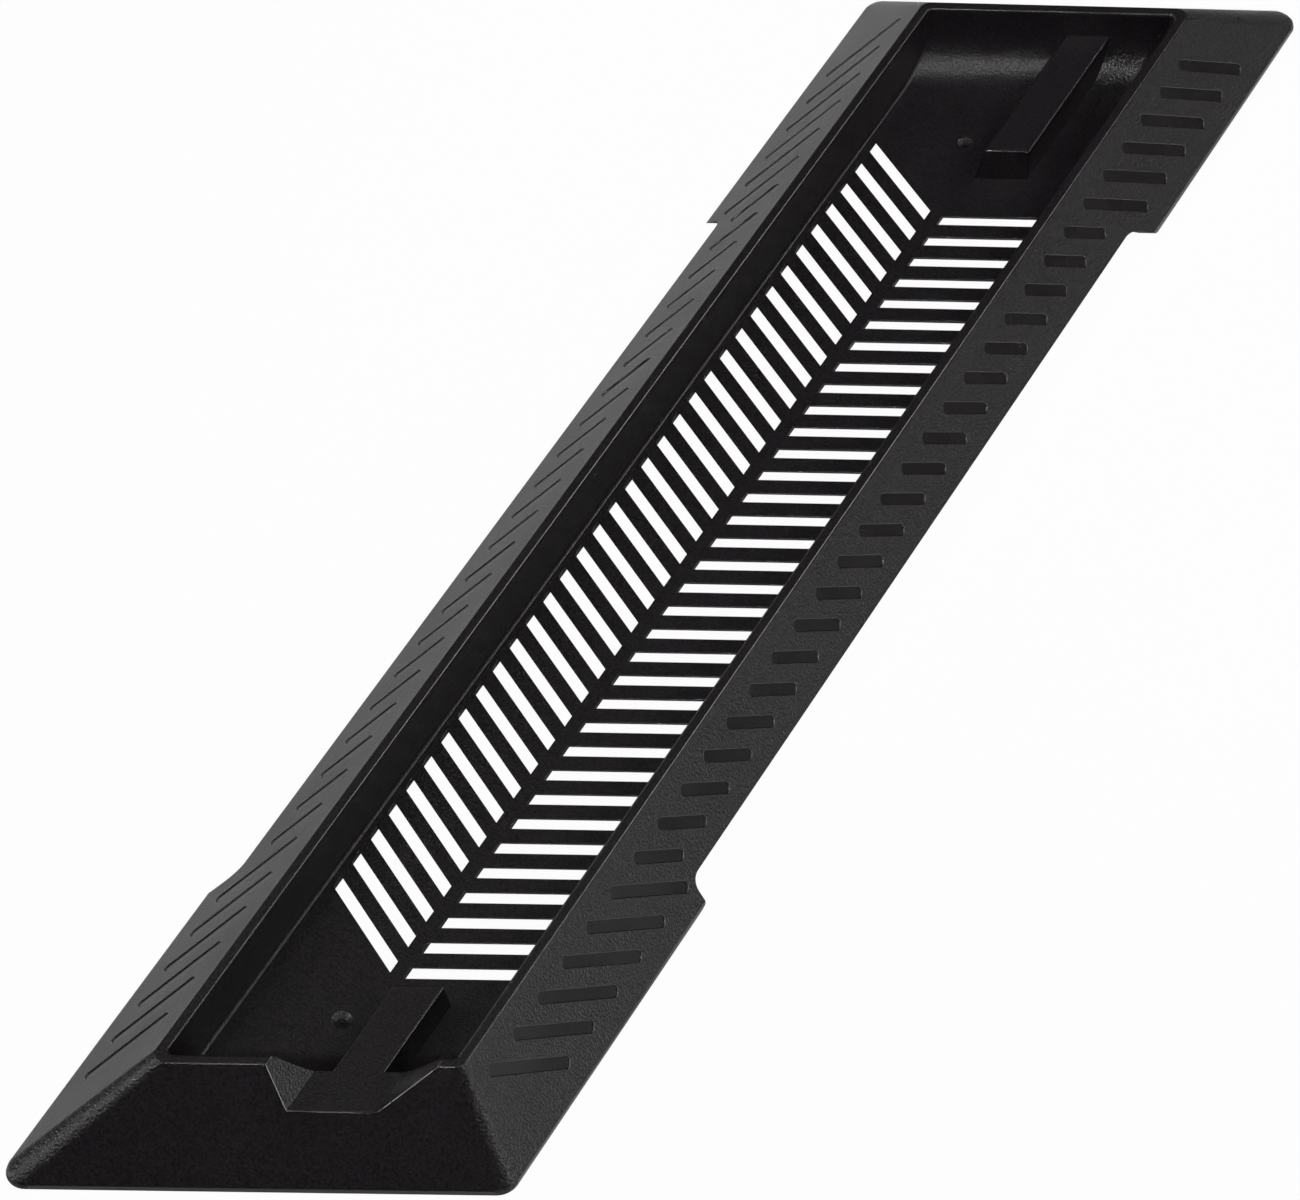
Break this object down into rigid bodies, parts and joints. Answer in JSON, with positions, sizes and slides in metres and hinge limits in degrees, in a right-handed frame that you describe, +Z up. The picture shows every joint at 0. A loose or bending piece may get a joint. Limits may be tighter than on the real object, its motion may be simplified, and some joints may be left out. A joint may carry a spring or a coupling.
{
  "type": "console vertical stand",
  "caption": "Long low moulded stand with a skewed cradle that holds a slim game console upright on its edge, over a chevron-vented floor.",
  "frame": {"origin": "middle of the footprint, on the surface that the stand rests on", "axes": "+X across the cradle towards the side nearest the floor bars, +Y along the cradle away from the notched end, +Z up"},
  "size_m": [0.0728, 0.3432, 0.0161],
  "materials": {
    "black_plastic": "fine moulded grain, satin black"
  },
  "bodies": {
    "root": {"stand_body": "black_plastic"}
  },
  "joints": []
}
